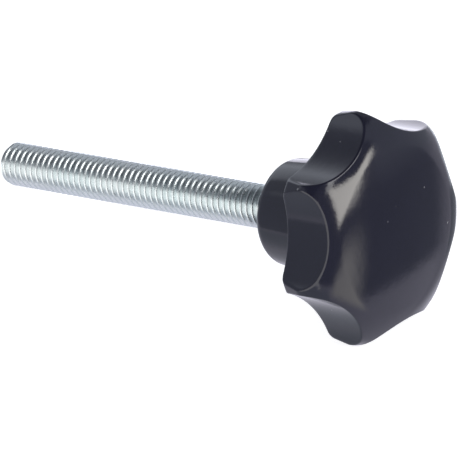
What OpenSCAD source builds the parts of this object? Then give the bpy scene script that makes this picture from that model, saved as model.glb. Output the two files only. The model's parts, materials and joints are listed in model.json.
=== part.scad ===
// Star knob screw: a seven-lobed knob moulded over the head of an M6 screw.
// Each piece is drawn along the screw's own axis, with the seat of the hub at height 0, the knob
// above it and the thread below. place() then lays the whole screw down the way it comes to rest,
// on the back corners of two lobes and the tip of the thread.

/* [Knob] */
// Diameter over the lobes, where they are widest
knob_d = 31.7; // [30:0.1:34]
// Height of the knob, from the seat of the hub to the top of the crown
knob_h = 19.6; // [18:0.1:24]
// Draft of the wall of the lobes, which opens towards the crown
lobe_draft = 11.4; // [2:0.1:15]
// Radius of the turned corner at the back of each lobe
lobe_back_r = 0.9; // [0.4:0.1:2]
// Radius of the turned corner between the wall of each lobe and the crown
lobe_front_r = 3.8; // [2:0.1:5]
// Number of lobes
lobes = 7; // [5:1:9]

/* [Flutes] */
// Diameter of the circle that the flutes touch at their deepest
flute_root_d = 25.8; // [23:0.1:28]
// Radius of each hollow flute
flute_r = 14.4; // [8:0.1:20]

/* [Crown] */
// Radius of the shallow dome in the middle of the crown
dome_r = 58; // [40:1:90]
// Distance from the axis at which the dome gives way to the rolled rim
roll_start = 11.1; // [8:0.1:12]
// Radius of the rolled rim
roll_r = 9.5; // [8:0.1:14]
// Angle between dome and rim where they meet
roll_break = 3; // [2:0.5:6]

/* [Hub] */
// Diameter of the hub at its seat
hub_d = 14.1; // [13:0.1:17]
// Diameter of the hub where it runs into the lobes
hub_top_d = 15.9; // [13.2:0.1:18]
// Height of the hub, from its seat to the back of the lobes
hub_h = 10.9; // [9:0.1:12]
// Radius of the rounded edge round the seat
hub_round = 1.5; // [0.5:0.1:2.5]

/* [Screw] */
// Major diameter of the thread
thread_d = 6; // [5:0.5:8]
// Free length of the thread, from the seat of the hub to the tip
thread_l = 50; // [30:1:80]
// Chamfer on the tip of the thread
tip_chamfer = 0.8; // [0.3:0.1:1]
// Length over which the thread runs out to the shank, inside the hub
thread_runout = 1; // [0.5:0.1:3]
// Diameter of the unthreaded shank inside the hub
shank_d = 5.35; // [4:0.05:5.5]
// Width across the flats of the hexagon head
head_af = 10; // [8:0.5:11]
// Height of the hexagon head
head_h = 4; // [3:0.1:5]
// Height of the underside of the head above the seat of the hub
head_base = 9.5; // [7:0.1:10]

/* [Hidden] */
$fn = 128;
thread_r = thread_d / 2;
flute_root = flute_root_d / 2;
flute_centre = flute_root + flute_r;
lobe_pitch = 360 / lobes;
// How far cutting tools reach past what they cut
spare = 1;
// Angle at which a corner's arc meets the faces beside it, so that it cuts them cleanly
blend = 8;
// Distance from the axis to the ridge where two neighbouring flutes would meet
flute_half_gap = flute_centre * sin(lobe_pitch / 2);
ridge_r = flute_centre * cos(lobe_pitch / 2) - sqrt(max(0, flute_r ^ 2 - flute_half_gap ^ 2));

// The rim's arc passes through the edge of the dome and falls away more steeply by roll_break.
// Further in it stands clear above the dome only near the line through both arcs' centres.
dome_z = knob_h - dome_r;
dome_lean = asin(roll_start / dome_r);
rim_lean = dome_lean + roll_break;
rim_x = roll_start - roll_r * sin(rim_lean);
rim_z = dome_z + dome_r * cos(dome_lean) - roll_r * cos(rim_lean);
rim_clear = dome_r * sin(atan(rim_x / (rim_z - dome_z)));

// The corner between wall and crown has its widest point on the circle of knob_d. Its arc crosses
// the rim's arc and the wall below it at the angle blend, which settles where it is and how far out
// the wall starts at the back.
front_x = knob_d / 2 - lobe_front_r;
front_reach = sqrt(roll_r ^ 2 + lobe_front_r ^ 2 - 2 * roll_r * lobe_front_r * cos(blend));
front_z = rim_z + sqrt(max(0, front_reach ^ 2 - (front_x - rim_x) ^ 2));
wall_drop = (front_z - hub_h) * sin(lobe_draft);
lobe_back = front_x + (lobe_front_r * cos(blend) - wall_drop) / cos(lobe_draft);

// The screw lies on the two lobes either side of one flute and on the end of its full thread.
// Seen from the side, the floor is the steepest line from the thread's end to a point on the turned
// corners at the back and the front of those lobes.
half_pitch = lobe_pitch / 2;
thread_end = thread_l - tip_chamfer;
corner_inset = lobe_back_r * cos(blend);
corner_x = corner_centre(lobe_back, lobe_back_r, lobe_draft);
tilt = max(
    max([for (a = [lobe_draft : 1 : 90]) floor_lean(
        hub_h + corner_inset - lobe_back_r * sin(a), corner_x + lobe_back_r * cos(a)
    )]),
    max([for (a = [-lobe_draft : 1 : 60]) floor_lean(
        front_z + lobe_front_r * sin(a), front_x + lobe_front_r * cos(a)
    )])
);

// Angle at which a floor under the thread's end meets a lobe of this radius at this height
function floor_lean(height, radius) = atan((lobe_reach(radius) - thread_r) / (height + thread_end));

// How far a lobe of this radius reaches towards the floor: to the corner where the flute cuts its
// wall, or to the ridge where two flutes meet before they get to the wall
function lobe_reach(radius) =
    let (corner = (flute_centre ^ 2 + radius ^ 2 - flute_r ^ 2) / (2 * flute_centre))
    corner > radius * cos(half_pitch) ? corner : ridge_r * cos(half_pitch);

// Distance from the axis to the centre of a corner's arc, whose wall leans outwards from this edge
function corner_centre(edge, radius, lean) = edge - radius * cos(blend) * (1 - sin(lean)) / cos(lean);

// Lays a piece drawn along the screw's axis down on the floor, crown towards +X
module place() {
    rotate([0, 90 - tilt, 0]) children();
}

// What stays when the corner at (edge, 0), between a level face and a wall that leans outwards,
// is rounded off. The arc bounds it between the points where it stands furthest proud of the two.
module rounded_corner(edge, radius, lean, tall) {
    inset = radius * cos(blend);
    x = corner_centre(edge, radius, lean);
    translate([x, inset]) circle(radius);
    square([x, tall]);
    translate([0, inset - radius * sin(lean)]) square([edge + tall, tall]);
}

// What stays when the corner between wall and crown is rounded off: all that is further in than the
// point where the arc stands furthest proud of the rim, or lower than where it does so of the wall
module front_corner() {
    proud_of_rim = front_x + lobe_front_r * (front_x - rim_x) / front_reach;
    proud_of_wall = front_z - lobe_front_r * sin(lobe_draft);
    translate([front_x, front_z]) circle(lobe_front_r);
    square([proud_of_rim, knob_h + spare]);
    square([knob_d, proud_of_wall]);
}

// Half section of the lobed head before the flutes are cut: back face, leaning wall and crown
module head_section() {
    tall = knob_h - hub_h;
    reach = lobe_back + tall * tan(lobe_draft);
    intersection() {
        front_corner();
        translate([0, hub_h]) intersection() {
            polygon([[0, 0], [lobe_back, 0], [reach, tall], [0, tall]]);
            rounded_corner(lobe_back, lobe_back_r, lobe_draft, tall + spare);
        }
        translate([0, dome_z]) circle(dome_r);
        union() {
            translate([rim_x, rim_z]) circle(roll_r);
            square([rim_clear, knob_h + spare]);
        }
    }
}

// Half section of the hub, which widens towards the lobes
module hub_section() {
    tall = hub_h + spare;
    lean = atan((hub_top_d - hub_d) / 2 / hub_h);
    foot = hub_d / 2;
    intersection() {
        polygon([[0, 0], [foot, 0], [foot + tall * tan(lean), tall], [0, tall]]);
        rounded_corner(foot, hub_round, lean, tall + spare);
    }
}

// Vertical hollows between the lobes, with one of them facing the floor
module flutes() {
    for (i = [0 : lobes - 1])
        rotate([0, 0, i * lobe_pitch])
            translate([flute_centre, 0, hub_h - spare])
                cylinder(r = flute_r, h = knob_h - hub_h + 2 * spare);
}

// The screw as it was before moulding: thread with its run-out, shank and hexagon head
module screw_body() {
    translate([0, 0, -thread_l]) cylinder(r1 = thread_r - tip_chamfer, r2 = thread_r, h = tip_chamfer);
    translate([0, 0, -thread_end]) cylinder(r = thread_r, h = thread_end);
    cylinder(r1 = thread_r, r2 = shank_d / 2, h = thread_runout);
    translate([0, 0, thread_runout]) cylinder(d = shank_d, h = head_base - thread_runout + spare);
    translate([0, 0, head_base]) cylinder(d = head_af / cos(30), h = head_h, $fn = 6);
}

// Glossy black moulding that fills the space round the screw's head, shank and run-out
module star_knob() {
    color([0.06, 0.06, 0.075])
        place()
            difference() {
                union() {
                    difference() {
                        rotate_extrude() head_section();
                        flutes();
                    }
                    rotate_extrude() hub_section();
                }
                screw_body();
            }
}

// Zinc-plated steel screw; the thread's ridges are drawn as a plain cylinder of their outer diameter
module threaded_stud() {
    color([0.72, 0.75, 0.78])
        place()
            screw_body();
}

star_knob();
threaded_stud();
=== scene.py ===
import json
import math

import bmesh
import bpy
import numpy as np
from mathutils import Matrix, Vector


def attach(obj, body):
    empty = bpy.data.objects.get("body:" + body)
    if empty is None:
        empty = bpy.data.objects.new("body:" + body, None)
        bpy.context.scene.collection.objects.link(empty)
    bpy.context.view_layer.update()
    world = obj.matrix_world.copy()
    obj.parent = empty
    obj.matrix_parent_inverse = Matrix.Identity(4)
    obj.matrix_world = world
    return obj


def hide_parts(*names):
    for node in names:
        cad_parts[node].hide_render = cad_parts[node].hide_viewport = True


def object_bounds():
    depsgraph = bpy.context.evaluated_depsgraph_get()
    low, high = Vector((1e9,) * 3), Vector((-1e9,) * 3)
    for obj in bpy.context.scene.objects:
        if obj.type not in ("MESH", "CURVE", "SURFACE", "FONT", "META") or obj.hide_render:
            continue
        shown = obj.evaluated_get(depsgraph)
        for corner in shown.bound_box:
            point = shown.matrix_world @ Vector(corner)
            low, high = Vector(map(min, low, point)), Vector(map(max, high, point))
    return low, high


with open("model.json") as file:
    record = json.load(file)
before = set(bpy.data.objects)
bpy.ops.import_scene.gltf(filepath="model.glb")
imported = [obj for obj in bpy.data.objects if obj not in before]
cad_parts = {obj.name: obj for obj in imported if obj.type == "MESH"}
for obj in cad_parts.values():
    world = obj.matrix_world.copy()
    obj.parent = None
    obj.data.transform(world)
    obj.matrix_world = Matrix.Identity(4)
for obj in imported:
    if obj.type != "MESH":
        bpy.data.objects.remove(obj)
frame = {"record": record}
cad_low, cad_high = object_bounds()

# ---- Star knob -------------------------------------------------------------------------------
# One hard, glossy black phenolic moulding, pressed in a two-part mould over the head of the
# screw: seven lobes between hollow flutes, a domed crown with a rolled rim, and a tapered hub.
# Its mould edges are crisp but never sharp, and handling has left faint scuffs and dust on it.

# Lengths are in millimetres, measured from the screw's axis and up from the hub's seat. ROLL_BREAK,
# LOBE_DRAFT and BLEND are in degrees and LOBE_PITCH in radians. KNOB_HEIGHT is a hundredth less than
# the solid's, which keeps the crown inside it.
MM = 0.001
LOBES = 7
LOBE_PITCH = 2 * math.pi / LOBES
KNOB_HEIGHT = 19.59
KNOB_R = 15.85
DOME_R = 58.0
ROLL_START = 11.1
ROLL_R = 9.5
ROLL_BREAK = 3.0
FLUTE_ROOT = 12.9
FLUTE_R = 14.4
LOBE_DRAFT = 11.4
LOBE_BACK_R = 0.9
LOBE_FRONT_R = 3.8
BLEND = 8.0
HUB_HEIGHT = 10.9
HUB_SEAT_R = 7.05
HUB_TOP_R = 7.95
HUB_FOOT = 1.5
HUB_FILLET = 0.5
MOUTH_R = 2.45
MOUTH_DEPTH = 0.9

# Over these widths an edge is softened, the lobes' rear edge is rounded, and the section is
# smoothed as polishing does it
EDGE_SOFTNESS = 0.23
REAR_EDGE = 0.22
POLISH = 0.5

# How finely the mesh follows the shape: the distance between points of the turned section, rows in
# each stretch of the half section, and columns on each lobe with how they crowd towards its tip. The
# hub's rows stop HUB_ROWS_END below its fillet, and the edge's rows reach EDGE_ROWS_REACH times its
# softness onto the crown.
SECTION_STEP = 0.02
SEAT_ROWS = 4
FOOT_ROWS = 14
HUB_ROWS = 7
HUB_ROWS_END = 0.1
CORNER_ROWS = 7
BACK_ROWS = 6
WALL_ROWS = 19
EDGE_ROWS = 15
EDGE_ROWS_REACH = 1.5
CROWN_ROWS = 55
LOBE_COLUMNS = 72
CROWDING = 0.75

# The mount's axis points out of the tip, and AXIS from the hub's seat to the crown
screw = next(m for m in frame["record"]["mounts"] if m["name"] == "stud")
SEAT_CENTRE = np.array(screw["pos_m"])
AXIS = -np.array(screw["axis"])


def lay_down(points):
    """Millimetres along the screw's own axes, turned into place on the floor: x times the way down
    to the floor, y times the way across and z times the screw's axis, from the hub's seat."""
    to_floor = (AXIS[2], 0, -AXIS[0])
    across = (0, 1, 0)
    return SEAT_CENTRE + points @ np.array([to_floor, across, AXIS]) * MM


def soft_min(a, b, width):
    """The smaller of two lengths. Where they are closer than width, a quarter of the width times
    the squared share of it by which they overlap is taken off, which rounds the edge."""
    overlap = np.clip(1 - np.abs(a - b) / width, 0, None)
    return np.minimum(a, b) - overlap**2 * width / 4


def arc(centre, radius, start, stop):
    """Points of an arc about a centre, from one angle in degrees to another, no further apart than
    SECTION_STEP."""
    count = int(abs(math.radians(stop - start)) * radius / SECTION_STEP) + 2
    turn = np.radians(np.linspace(start, stop, count))
    return np.array(centre) + radius * np.stack([np.cos(turn), np.sin(turn)], -1)


def angle_opposite(far, beside, base):
    """Angle in degrees opposite the first side of a triangle with these three sides."""
    return math.degrees(math.acos((beside**2 + base**2 - far**2) / (2 * beside * base)))


def turned_section():
    """Distance and height at every SECTION_STEP along the head's half section before the flutes are
    cut: back corner, leaning wall, front corner, rolled rim and dome. The corners' arcs cross what
    is beside them at the angle BLEND, and a moving average over POLISH smooths every crossing."""
    draft, blend = math.radians(LOBE_DRAFT), math.radians(BLEND)
    lean = math.asin(ROLL_START / DOME_R)
    rim_lean = lean + math.radians(ROLL_BREAK)
    dome_z = KNOB_HEIGHT - DOME_R
    rim_x = ROLL_START - ROLL_R * math.sin(rim_lean)
    rim_z = dome_z + DOME_R * math.cos(lean) - ROLL_R * math.cos(rim_lean)

    reach = math.sqrt(ROLL_R**2 + LOBE_FRONT_R**2 - 2 * ROLL_R * LOBE_FRONT_R * math.cos(blend))
    front_x = KNOB_R - LOBE_FRONT_R
    front_z = rim_z + math.sqrt(reach**2 - (front_x - rim_x) ** 2)
    outwards = math.degrees(math.atan2(front_z - rim_z, front_x - rim_x))
    corner_end = outwards - 180 + angle_opposite(ROLL_R, LOBE_FRONT_R, reach)
    rim_start = outwards - angle_opposite(LOBE_FRONT_R, ROLL_R, reach)

    drop = (front_z - HUB_HEIGHT) * math.sin(draft)
    wall_x = front_x + (LOBE_FRONT_R * math.cos(blend) - drop) / math.cos(draft)
    back_x = wall_x - LOBE_BACK_R * math.cos(blend) * (1 - math.sin(draft)) / math.cos(draft)
    back_z = HUB_HEIGHT + LOBE_BACK_R * math.cos(blend)

    turns = np.vstack([
        arc((back_x, back_z), LOBE_BACK_R, BLEND - 90, -LOBE_DRAFT - BLEND),
        arc((front_x, front_z), LOBE_FRONT_R, BLEND - LOBE_DRAFT, corner_end),
        arc((rim_x, rim_z), ROLL_R, rim_start, 90 - math.degrees(rim_lean)),
        arc((0, dome_z), DOME_R, 90 - math.degrees(lean), 90),
    ])
    gone = np.append(0, np.cumsum(np.hypot(*np.diff(turns, axis=0).T)))
    even = np.arange(0, gone[-1], SECTION_STEP)

    # Each end is carried on by its point reflection, so that the average leaves it in place
    half = int(POLISH / SECTION_STEP / 2)
    kernel = np.ones(2 * half + 1) / (2 * half + 1)
    section = []
    for line in turns.T:
        line = np.interp(even, gone, line)
        lead_in = 2 * line[0] - line[half:0:-1]
        lead_out = 2 * line[-1] - line[-2 : -half - 2 : -1]
        section.append(np.convolve(np.concatenate([lead_in, line, lead_out]), kernel, "valid"))
    return np.array(section)


SECTION_R, SECTION_Z = turned_section()
WIDEST = int(SECTION_R.argmax())


def flute_wall(angle):
    """Distance from the axis to the nearest flute's wall: the near side of a circle of FLUTE_R
    whose centre lies FLUTE_ROOT and FLUTE_R away, seen along this angle."""
    off = (angle + LOBE_PITCH / 2) % LOBE_PITCH - LOBE_PITCH / 2
    centre = FLUTE_ROOT + FLUTE_R
    return centre * np.cos(off) - np.sqrt(FLUTE_R**2 - (centre * np.sin(off)) ** 2)


def back_outline(angle, z):
    """Distance from the axis to the side of the lobed head behind its widest point."""
    turned_wall = np.interp(z, SECTION_Z[:WIDEST], SECTION_R[:WIDEST])
    return soft_min(flute_wall(angle), turned_wall, EDGE_SOFTNESS)


def knob_angles():
    """Angles round the knob, crowded towards the lobes' tips: each lobe's share t from -1 to 1 is
    moved outwards by a sine of t."""
    t = (np.arange(LOBE_COLUMNS) + 0.5) / LOBE_COLUMNS * 2 - 1
    one = LOBE_PITCH / 2 * (t + CROWDING / math.pi * np.sin(math.pi * t))
    return (one + LOBE_PITCH * np.arange(LOBES)[:, None]).ravel()


def knob_rows(angle):
    """Distances from the axis and heights of the knob's half section at each angle, row by row from
    the bottom of the mouth over seat, hub, back, lobe wall and front edge to the crown's top."""
    rows = []

    def row(distance, height):
        """Adds a row, with a distance and a height for every angle or one for them all."""
        rows.append((distance + 0 * angle, height + 0 * angle))

    row(0, MOUTH_DEPTH)
    row(MOUTH_R, MOUTH_DEPTH)
    row(MOUTH_R, 0)

    # Seat, rounded foot and leaning wall of the hub, and the fillet between it and the lobes
    lean = math.atan((HUB_TOP_R - HUB_SEAT_R) / HUB_HEIGHT)
    foot_r = HUB_SEAT_R - HUB_FOOT * (1 - math.sin(lean)) / math.cos(lean)
    for r in np.linspace(MOUTH_R, foot_r, SEAT_ROWS + 2)[1:-1]:
        row(r, 0)
    for a in np.linspace(-math.pi / 2, -lean, FOOT_ROWS):
        row(foot_r + HUB_FOOT * math.cos(a), HUB_FOOT + HUB_FOOT * math.sin(a))
    top = HUB_HEIGHT - HUB_FILLET
    for z in np.linspace(HUB_FOOT, top - HUB_ROWS_END, HUB_ROWS + 1)[1:]:
        row(HUB_SEAT_R + z * math.tan(lean), z)
    fillet_r = HUB_SEAT_R + top * math.tan(lean) + HUB_FILLET
    for a in np.linspace(0, math.pi / 2, CORNER_ROWS):
        row(fillet_r - HUB_FILLET * math.cos(a), top + HUB_FILLET * math.sin(a))

    # Flat back of the lobes, out to the rounded rear edge
    rear_r = back_outline(angle, HUB_HEIGHT) - REAR_EDGE
    for s in np.linspace(0, 1, BACK_ROWS + 2)[1:-1]:
        row(fillet_r + (rear_r - fillet_r) * s, HUB_HEIGHT)
    for a in np.linspace(0, math.pi / 2, CORNER_ROWS):
        z = HUB_HEIGHT + REAR_EDGE * (1 - math.cos(a))
        row(back_outline(angle, z) - REAR_EDGE * (1 - math.sin(a)), z)

    # Wall and crown along the turned section, clipped by the flutes. The rows gather where the
    # flute's wall ends at the crown, or at the widest point of a lobe that no flute reaches.
    wall = flute_wall(angle)
    step = np.arange(len(SECTION_R))
    start = np.interp(rows[-1][1], SECTION_Z[:WIDEST], step[:WIDEST])
    edge = np.interp(-wall, -SECTION_R[WIDEST:], step[WIDEST:])
    before = edge - EDGE_SOFTNESS / SECTION_STEP
    after = edge + EDGE_ROWS_REACH * EDGE_SOFTNESS / SECTION_STEP
    stretches = [(start, before, WALL_ROWS), (before, after, EDGE_ROWS), (after, step[-1], CROWN_ROWS)]
    for first, last, count in stretches:
        for s in np.linspace(0, 1, count + 1)[1:]:
            along = first + (last - first) * s
            r = np.interp(along, step, SECTION_R)
            r = soft_min(wall, r, np.minimum(EDGE_SOFTNESS, r))
            row(r, np.interp(along, step, SECTION_Z))
    rows[-1] = (0 * angle, rows[-1][1])
    distances, heights = zip(*rows)
    return np.array(distances), np.array(heights)


def turned(r, z, angle):
    """Points at these distances from the axis and heights, at these angles about the axis."""
    return np.stack([r * np.cos(angle), r * np.sin(angle), z], -1)


def in_scene(name, data):
    """A new object of this mesh or camera, linked to the scene."""
    made = bpy.data.objects.new(name, data)
    bpy.context.scene.collection.objects.link(made)
    return made


def closed_shell(name, grid):
    """A mesh from rows by columns of points in metres. Each row is a closed loop, joined to the
    next by quads, and the first and last rows are single points closed by triangles."""
    rows, columns = grid.shape[:2]
    points = np.vstack([grid[0, :1], grid[1:-1].reshape(-1, 3), grid[-1, :1]])
    here = 1 + np.arange((rows - 3) * columns).reshape(rows - 3, columns)
    beside = np.roll(here, -1, axis=1)
    quads = np.stack([here, beside, beside + columns, here + columns], -1).reshape(-1, 4)
    first = 1 + np.arange(columns)
    last = first + (rows - 3) * columns
    top = len(points) - 1
    start_fan = np.stack([0 * first, np.roll(first, -1), first], -1)
    end_fan = np.stack([last, np.roll(last, -1), 0 * last + top], -1)
    mesh = bpy.data.meshes.new(name)
    mesh.from_pydata(points.tolist(), [], quads.tolist() + start_fan.tolist() + end_fan.tolist())
    mesh.shade_smooth()
    return in_scene(name, mesh)


class Socket:
    """An output of a shader node, on which Python's arithmetic adds Math nodes."""

    def __init__(self, shader, output):
        self.shader = shader
        self.output = output

    def maths(self, operation, *values):
        return self.shader.maths_of(operation, *values)

    def __add__(self, other):
        return self.maths("ADD", self, other)

    def __sub__(self, other):
        return self.maths("SUBTRACT", self, other)

    def __rsub__(self, other):
        return self.maths("SUBTRACT", other, self)

    def __mul__(self, other):
        return self.maths("MULTIPLY", self, other)

    def __gt__(self, other):
        return self.maths("GREATER_THAN", self, other)

    __radd__ = __add__
    __rmul__ = __mul__

    def clamped(self):
        return self.maths("MAXIMUM", self.maths("MINIMUM", self, 1), 0)


class Shader:
    """The nodes of a material or world being built; node() is the one way to add to them."""

    def __init__(self, owner):
        owner.use_nodes = True
        self.tree = owner.node_tree
        self.tree.nodes.clear()

    def node(self, kind, settings=None, inputs=None):
        """Adds a node, sets its settings, then its sockets' values or links, and gives its outputs
        by number and by name."""
        made = self.tree.nodes.new(kind)
        for key, value in (settings or {}).items():
            setattr(made, key, value)
        for key, value in (inputs or {}).items():
            if isinstance(value, Socket):
                self.tree.links.new(value.output, made.inputs[key])
            else:
                made.inputs[key].default_value = value
        sockets = {number: Socket(self, out) for number, out in enumerate(made.outputs)}
        sockets.update({out.name: Socket(self, out) for out in made.outputs})
        return sockets

    def maths_of(self, operation, *values):
        return self.node("ShaderNodeMath", dict(operation=operation), dict(enumerate(values)))[0]

    def mix(self, share, a, b):
        """Colour a where share is 0 and b where it is 1."""
        settings = dict(data_type="RGBA", clamp_factor=True)
        return self.node("ShaderNodeMix", settings, {"Factor": share, 6: a, 7: b})[2]

    def noise(self, where, scale, detail=2, roughness=0.5):
        """Cloudy noise from 0 to 1, with this many clouds to the metre."""
        inputs = {"Vector": where, "Scale": scale, "Detail": detail, "Roughness": roughness}
        return self.node("ShaderNodeTexNoise", dict(noise_dimensions="3D"), inputs)["Fac"]

    def bump(self, height, strength, distance):
        """The normal of a surface that stands proud by height times distance, in metres, of which
        strength is the share that shows."""
        inputs = {"Height": height, "Strength": strength, "Distance": distance}
        return self.node("ShaderNodeBump", None, inputs)["Normal"]

    def surface(self, inputs):
        """Makes the material one Principled BSDF with these values and links."""
        shading = self.node("ShaderNodeBsdfPrincipled", None, inputs)["BSDF"]
        self.node("ShaderNodeOutputMaterial", None, {"Surface": shading})


# Colours of the moulding, where it is clean and where it is worn, and of the dust, which covers
# what is under it by DUST_COVER
CLEAN_BLACK = (0.0098, 0.0098, 0.0235, 1)
WORN_BLACK = (0.0126, 0.0126, 0.0285, 1)
DUST_GREY = (0.24, 0.24, 0.26, 1)
DUST_COVER = 0.8

# Roughness of the clean gloss, what full wear, scuffing and dust add to it, and the gloss's index
# of refraction
CLEAN_ROUGHNESS = 0.02
WEAR_DULLS = 0.05
SCUFF_DULLS = 0.09
DUST_DULLS = 0.3
GLOSS_IOR = 1.56

# How many patches of wear, scuffs, dimples of the mould's skin and cells for specks lie in a metre
WEAR_SCALE = 160
SCUFF_SCALE = 2600
PEEL_SCALE = 900
SPECK_SCALE = 420

# A speck's radius in cells, how fast it pales from there inwards, and the share of bare cells
SPECK_R = 0.08
SPECK_EDGE = 30
BARE_SHARE = 0.6

# Shares of the mould's skin and of the scuffs in the relief, its depth in metres and its strength
PEEL_SHARE = 0.6
SCUFF_SHARE = 0.35
SKIN_DEPTH = 0.0002
SKIN_STRENGTH = 0.06


def black_moulding():
    """Glossy black phenolic: near-black base, a hard gloss that wear and scuffs have dulled, the
    mould's faint orange peel, and a few pale specks of dust. A cell has a speck about its middle
    where its random number is above BARE_SHARE."""
    material = bpy.data.materials.new("black_moulding")
    sh = Shader(material)
    where = sh.node("ShaderNodeTexCoord")["Object"]
    wear = sh.noise(where, WEAR_SCALE, 3)
    scuff = sh.noise(where, SCUFF_SCALE, 4, 0.7)
    peel = sh.noise(where, PEEL_SCALE)
    cells = sh.node("ShaderNodeTexVoronoi", dict(feature="F1"), {"Vector": where, "Scale": SPECK_SCALE})
    drawn = sh.node("ShaderNodeSeparateColor", None, {"Color": cells["Color"]})["Red"]
    dust = ((SPECK_R - cells["Distance"]) * SPECK_EDGE).clamped() * (drawn > BARE_SHARE)
    black = sh.mix(wear, CLEAN_BLACK, WORN_BLACK)
    sh.surface({
        "Base Color": sh.mix(dust * DUST_COVER, black, DUST_GREY),
        "Roughness": CLEAN_ROUGHNESS + WEAR_DULLS * wear + SCUFF_DULLS * scuff + DUST_DULLS * dust,
        "Normal": sh.bump(peel * PEEL_SHARE + scuff * SCUFF_SHARE, SKIN_STRENGTH, SKIN_DEPTH),
        "IOR": GLOSS_IOR,
    })
    return material


angles = knob_angles()
star_knob = closed_shell("star_knob_moulding", lay_down(turned(*knob_rows(angles), angles)))
star_knob.data.materials.append(black_moulding())
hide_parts("star_knob")
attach(star_knob, "root")

# ---- Threaded stud ---------------------------------------------------------------------------
# A fully threaded steel screw, M6 with 1 mm pitch, right hand. The thread is rolled, so its crests
# are narrow flats and its roots are round, the tip has a turned chamfer, and the whole is zinc
# plated and blue passivated. It comes out of the hub's seat, where the moulding grips its turns.

# Lengths are in millimetres. ENTRY is how far the screw reaches into the hub's mouth.
THREAD_PITCH = 1.0
THREAD_MAJOR_R = 2.995
THREAD_DEPTH = 0.61
CREST_WIDTH = 0.14
FLANK_LEAN = math.radians(30)
TIP_CHAMFER = 0.8
STUD_LENGTH = screw["dims"]["length_mm"] + TIP_CHAMFER
ENTRY = 0.85

# Widths over which the thread's roots, the edges of its crests and the chamfer's edge are rounded
ROOT_SOFTNESS = 0.14
CREST_SOFTNESS = 0.06
CHAMFER_SOFTNESS = 0.05

# Rows in a turn, columns round the screw, turns spent on closing each end, how far the end faces
# stay inside the chamfer and the mouth, and the distance in metres below which points are merged
TURN_ROWS = 16
STUD_COLUMNS = 48
SPARE_TURNS = 1.5
TIP_INSET = 0.01
ENTRY_INSET = 0.1
SAME_PLACE = 1e-7


def thread_radius(turn, z):
    """Radius of the screw's surface: a crest's flat, 60 degree flanks and a round root by the share
    of a turn from the crest, and nowhere more than the cone of the tip's chamfer."""
    from_crest = np.abs((turn + 0.5) % 1 - 0.5) * THREAD_PITCH
    flank = (from_crest - CREST_WIDTH / 2) / math.tan(FLANK_LEAN)
    drop = soft_min(flank, THREAD_DEPTH, ROOT_SOFTNESS)
    drop = -soft_min(-drop, 0, CREST_SOFTNESS)
    tip_cone = THREAD_MAJOR_R - TIP_CHAMFER + z + STUD_LENGTH
    return soft_min(THREAD_MAJOR_R - drop, tip_cone, CHAMFER_SOFTNESS)


def threaded_shell(name):
    """A closed mesh whose rows follow the thread: along each row the height climbs by one pitch in
    a turn, so crests and roots run along the rows. Rows past either end fall onto that end's plane
    and are merged there, and one more row at each end closes it on the axis."""
    length = STUD_LENGTH + ENTRY + 2 * SPARE_TURNS * THREAD_PITCH
    turn = np.arange(int(length / THREAD_PITCH * TURN_ROWS) + 1)[:, None] / TURN_ROWS
    around = np.linspace(0, 1, STUD_COLUMNS + 1)[None, :]
    height = -STUD_LENGTH + THREAD_PITCH * (turn + around - SPARE_TURNS)
    z = np.clip(height, -STUD_LENGTH, ENTRY)
    r = np.where(height < ENTRY, thread_radius(turn, z), MOUTH_R - ENTRY_INSET)
    r = np.where(height > -STUD_LENGTH, r, THREAD_MAJOR_R - TIP_CHAMFER - TIP_INSET)
    r = np.vstack([0 * r[:1], r, 0 * r[-1:]])
    z = np.vstack([z[:1], z, z[-1:]])
    grid = lay_down(turned(r, z, around * 2 * math.pi))
    number = np.arange(r.size).reshape(r.shape)
    quads = np.stack([number[:-1, :-1], number[:-1, 1:], number[1:, 1:], number[1:, :-1]], -1)
    mesh = bpy.data.meshes.new(name)
    mesh.from_pydata(grid.reshape(-1, 3).tolist(), [], quads.reshape(-1, 4).tolist())
    shell = bmesh.new()
    shell.from_mesh(mesh)
    bmesh.ops.remove_doubles(shell, verts=shell.verts, dist=SAME_PLACE)
    shell.to_mesh(mesh)
    shell.free()
    mesh.shade_smooth()
    return in_scene(name, mesh)


# Colours of the plating: two of its thin film, and that of the rolling marks, which cover the film
# by MARK_COVER
FILM_CYAN = (0.69, 0.78, 0.785, 1)
FILM_SILVER = (0.775, 0.785, 0.785, 1)
MARK_GREY = (0.56, 0.59, 0.60, 1)
MARK_COVER = 0.45

# How many changes of the film and how many marks lie in a metre, the bright plate's roughness and
# what marks add to it, and the depth of the marks in metres and their strength
FILM_SCALE = 90
MARK_SCALE = 1800
ZINC_ROUGHNESS = 0.2
MARK_DULLS = 0.16
MARK_DEPTH = 0.0001
MARK_STRENGTH = 0.12


def zinc_plate():
    """Bright zinc plate: a pale metal whose thin passivation turns from cool cyan to silver along
    the screw, with fine rolling marks that are a little darker and duller."""
    material = bpy.data.materials.new("zinc_plate")
    sh = Shader(material)
    where = sh.node("ShaderNodeTexCoord")["Object"]
    marks = sh.noise(where, MARK_SCALE, 3)
    film = sh.mix(sh.noise(where, FILM_SCALE, 1), FILM_CYAN, FILM_SILVER)
    sh.surface({
        "Base Color": sh.mix(marks * MARK_COVER, film, MARK_GREY),
        "Metallic": 1.0,
        "Roughness": ZINC_ROUGHNESS + MARK_DULLS * marks,
        "Normal": sh.bump(marks, MARK_STRENGTH, MARK_DEPTH),
    })
    return material


threaded_stud = threaded_shell("threaded_stud_screw")
threaded_stud.data.materials.append(zinc_plate())
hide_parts("threaded_stud")
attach(threaded_stud, "root")

# ---- Table and light -------------------------------------------------------------------------
# The screw lies on a plain white table in a dim room. A broad soft lamp under a hood stands low
# beyond the crown with a smaller lamp above it, and a pale backdrop hangs behind the knob. A white
# card stands to the right of the camera and a reflector to its left.

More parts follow.
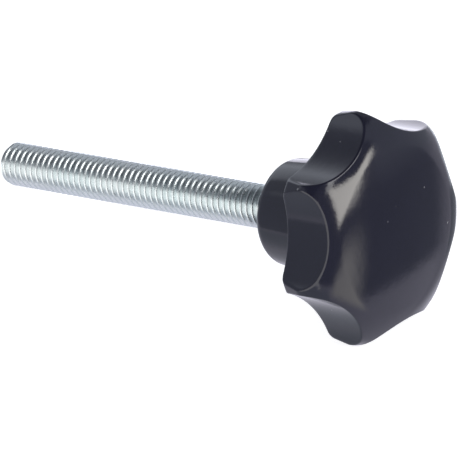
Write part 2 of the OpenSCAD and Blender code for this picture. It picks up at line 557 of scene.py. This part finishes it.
TABLE_HALF = 1.5
TABLE_COLOUR = (0.8, 0.8, 0.8, 1)
TABLE_ROUGHNESS = 0.9
TABLE_GLOW = 0.8
WHITE = (1, 1, 1, 1)


def white_table():
    """Matt white that adds its own glow for the eye, so that it shows white."""
    material = bpy.data.materials.new("white_table")
    sh = Shader(material)
    seen = sh.node("ShaderNodeLightPath")["Is Camera Ray"]
    sh.surface({
        "Base Color": TABLE_COLOUR,
        "Roughness": TABLE_ROUGHNESS,
        "Specular IOR Level": 0.0,
        "Emission Color": WHITE,
        "Emission Strength": seen * TABLE_GLOW,
    })
    return material


# The table catches the screw's shadow. What mirrors in the screw is the room's lower panels, which
# stand for the lit and shaded parts of the table.
signs = ((-1, -1), (1, -1), (1, 1), (-1, 1))
table_mesh = bpy.data.meshes.new("table")
table_corners = [(x * TABLE_HALF, y * TABLE_HALF, cad_low.z) for x, y in signs]
table_mesh.from_pydata(table_corners, [], [(0, 1, 2, 3)])
table_mesh.materials.append(white_table())
table = in_scene("table", table_mesh)
table.visible_glossy = False


# What stands in the room round the table, each panel laid over those before it: its corners as
# (compass, elevation) in degrees, its level of light, the softness of its edges in degrees and its
# tint. Compass 0 is along +X and -90 along -Y. On a chart with the compass to the right and the
# elevation upwards, the corners go anticlockwise. The chart runs from COMPASS_START once round,
# and a panel ends where the chart does.
WARM = (1.0, 0.97, 0.91)
COOL = (0.92, 0.98, 1.1)
VIOLET = (0.98, 0.97, 1.12)
PLAIN = (1.0, 1.0, 1.0)
COMPASS_START = -224
ROOM_LEVEL = 0.13
PANELS = {
    "front wall": ([(-60, -30), (140, -30), (140, 46), (-60, 46)], 0.26, 6, COOL),
    "far wall": ([(-230, -30), (-100, -30), (-100, 42), (-230, 42)], 0.45, 8, COOL),
    "far corner": ([(-219, 8), (-185, 8), (-185, 34), (-219, 34)], 1.2, 8, COOL),
    "far window": ([(-160, 26), (-142, 26), (-142, 37), (-160, 37)], 1.05, 6, COOL),
    "side wall": ([(38, 0), (110, -12), (110, 42), (38, 42)], 0.5, 6, COOL),
    "backdrop": ([(92, -6), (112, -14), (140, -16), (140, 14), (112, 26), (92, 14)], 2.1, 6, VIOLET),
    "table": ([(-240, -120), (150, -120), (150, -23), (-240, -23)], 0.85, 2, VIOLET),
    "table by the stud": ([(-230, -120), (-10, -120), (-10, -26), (-230, -26)], 0.67, 6, COOL),
    "table past the stud": ([(-230, -58), (-152, -58), (-152, -34), (-230, -34)], 0.84, 14, VIOLET),
    "table under the wall": ([(64, -40), (110, -30), (110, -4), (64, -4)], 0.62, 6, VIOLET),
    "dark stand": ([(78, -29), (110, -29), (110, -20), (78, -18)], 0.33, 3, COOL),
    "bright strip": ([(86, -18), (112, -21), (112, -10), (86, -12)], 2.0, 3, COOL),
    "table in the lamp's light": ([(-8, -29), (30, -30), (30, -8), (3, -17)], 1.7, 6, WARM),
    "white card": ([(-60, -26), (-24, -26), (-24, 29), (-60, 29)], 1.75, 4, PLAIN),
    "reflector": ([(-122, -26), (-60, -26), (-60, 26), (-122, 26)], 1.75, 4, PLAIN),
    "soft lamp": ([(13, 1), (29, -1.5), (36, 4), (41, 24), (-7, 31)], 6.5, 2.5, WARM),
    "lamp's hood": ([(0, 28), (28, 13), (42, 22), (42, 31), (0, 31)], 0.25, 2.5, COOL),
    "upper lamp": ([(-6, 30.5), (26, 30.5), (30, 44), (-6, 44)], 4.2, 2, PLAIN),
    "lamp's side": ([(-9, 29), (0, 29), (-4, 34), (-9, 34)], 3.0, 2.5, PLAIN),
}


def lit(level, tint):
    """The colour of a surface that gives off this level of light in this tint."""
    return tuple(level * part for part in tint) + (1,)


def studio_room():
    """The room by direction: a dim level with the panels over it. A panel covers the directions on
    the inner side of all its edges: the distance from an edge, divided by the softness, plus a half
    and held between 0 and 1, and all of these multiplied. The eye itself sees plain white."""
    world = bpy.data.worlds.new("studio_room")
    sh = Shader(world)
    looking = sh.node("ShaderNodeTexCoord")["Generated"]
    way = sh.node("ShaderNodeSeparateXYZ", None, {"Vector": looking})
    middle = COMPASS_START + 180
    cosine, sine = math.cos(math.radians(middle)), math.sin(math.radians(middle))
    ahead = way["X"] * cosine + way["Y"] * sine
    aside = way["Y"] * cosine - way["X"] * sine
    compass = sh.maths_of("ARCTAN2", aside, ahead) * math.degrees(1) + middle
    elevation = sh.maths_of("ARCSINE", way["Z"]) * math.degrees(1)
    light = lit(ROOM_LEVEL, COOL)
    for corners, level, softness, tint in PANELS.values():
        cover = 1
        for (x0, y0), (x1, y1) in zip(corners, corners[1:] + corners[:1]):
            scale = math.hypot(x1 - x0, y1 - y0) * softness
            inwards = (elevation - y0) * ((x1 - x0) / scale) - (compass - x0) * ((y1 - y0) / scale)
            cover = (inwards + 0.5).clamped() * cover
        light = sh.mix(cover, light, lit(level, tint))
    seen = sh.node("ShaderNodeLightPath")["Is Camera Ray"]
    shown = sh.mix(seen, light, WHITE)
    background = sh.node("ShaderNodeBackground", None, {"Color": shown})["Background"]
    sh.node("ShaderNodeOutputWorld", None, {"Surface": background})
    return world


bpy.context.scene.world = studio_room()

# ---- Camera ----------------------------------------------------------------------------------
# A camera with a long lens, seven tenths of a metre away, looks down on the crown and the length of
# the stud. It aims a little to the left of the origin and below it.

# Distances are in metres, lens and sensor in millimetres
CAMERA_DISTANCE = 0.7
CAMERA_COMPASS = math.radians(-50.06)
CAMERA_HEIGHT = math.radians(27.79)
AIM_RIGHT = -0.00773
AIM_UP = -0.00241
LENS = 417.4
SENSOR = 36.0
NEAREST = 0.01
FURTHEST = 20

camera_data = bpy.data.cameras.new("camera")
camera_data.lens = LENS
camera_data.sensor_width = SENSOR
camera_data.clip_start = NEAREST
camera_data.clip_end = FURTHEST
camera = in_scene("camera", camera_data)
right = Vector((-math.sin(CAMERA_COMPASS), math.cos(CAMERA_COMPASS), 0))
level_back = Vector((right.y, -right.x, 0))
back = level_back * math.cos(CAMERA_HEIGHT) + Vector((0, 0, math.sin(CAMERA_HEIGHT)))
up = back.cross(right)
aim = right * AIM_RIGHT + up * AIM_UP
facing = Matrix((right, up, back)).transposed().to_4x4()
camera.matrix_world = Matrix.Translation(aim + back * CAMERA_DISTANCE) @ facing
bpy.context.scene.camera = camera

bpy.context.scene.view_settings.view_transform = "Standard"
